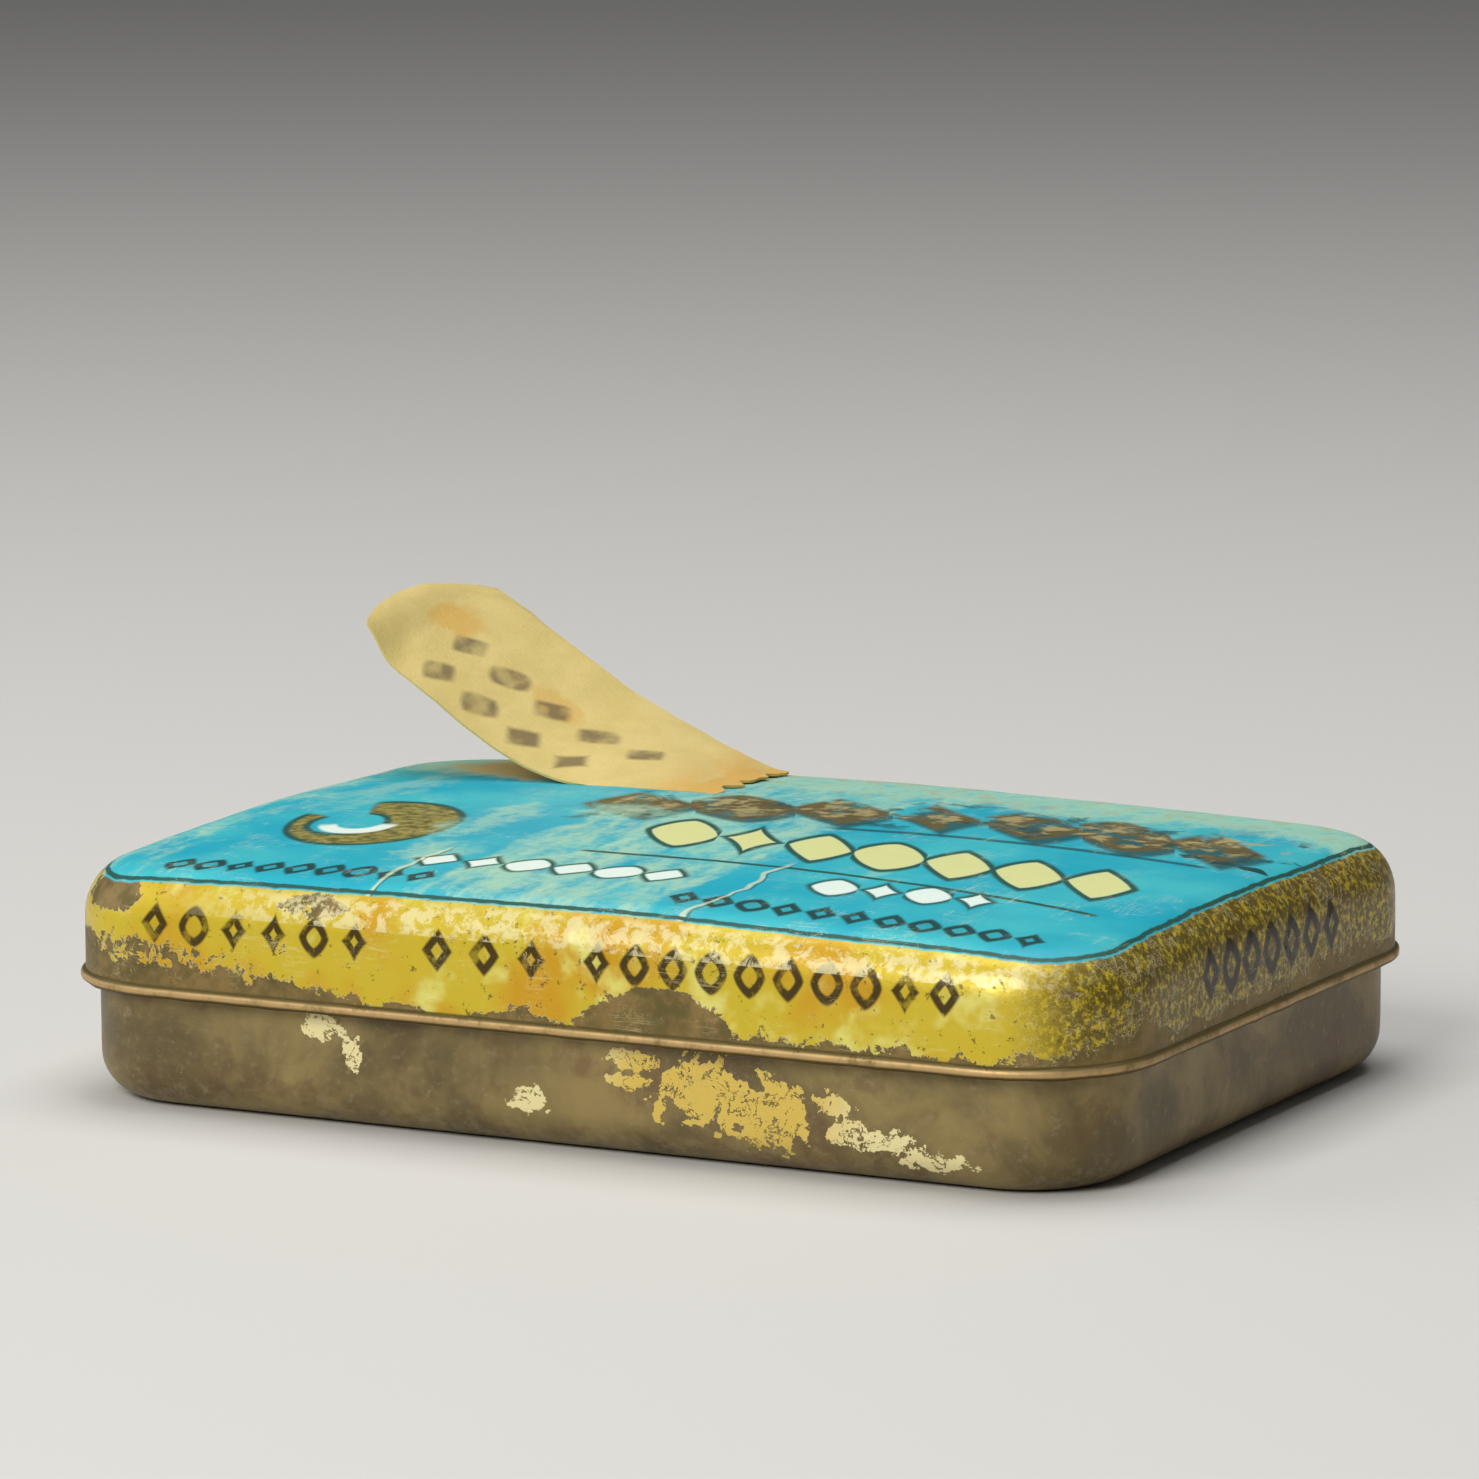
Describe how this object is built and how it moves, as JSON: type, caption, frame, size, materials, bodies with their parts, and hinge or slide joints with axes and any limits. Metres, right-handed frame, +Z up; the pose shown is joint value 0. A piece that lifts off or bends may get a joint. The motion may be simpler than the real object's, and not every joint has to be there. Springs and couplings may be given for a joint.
{
  "type": "gramophone needle tin",
  "caption": "Small hinged tin with a crowned printed lid, a rolled rim and a torn paper label, part filled with loose steel gramophone needles.",
  "frame": {"origin": "centre of the flat bottom of the tin, on the surface that it stands on", "axes": "+X along the long side, -Y towards the front that opens, +Z up through the lid"},
  "size_m": [0.0454, 0.0333, 0.0168],
  "materials": {
    "lid_print": "printed and varnished tinplate, worn",
    "base_lacquer": "dark lacquered tinplate, tarnished",
    "pin_wire": "dull steel wire",
    "needle_steel": "polished steel",
    "label_paper": "aged matt paper"
  },
  "bodies": {
    "tray": {"base_tray": "base_lacquer", "hinge_pin_left": "pin_wire", "hinge_pin_right": "pin_wire", "needle_01": "needle_steel", "needle_02": "needle_steel", "needle_03": "needle_steel", "needle_04": "needle_steel", "needle_05": "needle_steel", "needle_06": "needle_steel", "needle_07": "needle_steel", "needle_08": "needle_steel", "needle_09": "needle_steel", "needle_10": "needle_steel", "needle_11": "needle_steel", "needle_12": "needle_steel", "needle_13": "needle_steel", "needle_14": "needle_steel", "needle_15": "needle_steel", "needle_16": "needle_steel", "needle_17": "needle_steel", "needle_18": "needle_steel", "needle_19": "needle_steel", "needle_20": "needle_steel", "needle_21": "needle_steel", "needle_22": "needle_steel", "needle_23": "needle_steel", "needle_24": "needle_steel", "needle_25": "needle_steel", "needle_26": "needle_steel", "needle_27": "needle_steel", "needle_28": "needle_steel", "needle_29": "needle_steel", "needle_30": "needle_steel", "needle_31": "needle_steel", "needle_32": "needle_steel", "needle_33": "needle_steel", "needle_34": "needle_steel", "needle_35": "needle_steel", "needle_36": "needle_steel", "needle_37": "needle_steel", "needle_38": "needle_steel", "needle_39": "needle_steel", "needle_40": "needle_steel", "needle_41": "needle_steel", "needle_42": "needle_steel", "needle_43": "needle_steel", "needle_44": "needle_steel", "needle_45": "needle_steel", "needle_46": "needle_steel"},
    "lid": {"lid_shell": "lid_print", "paper_label": "label_paper"}
  },
  "joints": [
    {"name": "lid_hinge", "type": "hinge", "parent": "tray", "child": "lid", "pos_m": [0, 0.01645, 0.00425], "axis": [-1, 0, 0], "range_deg": [0, 105]}
  ]
}
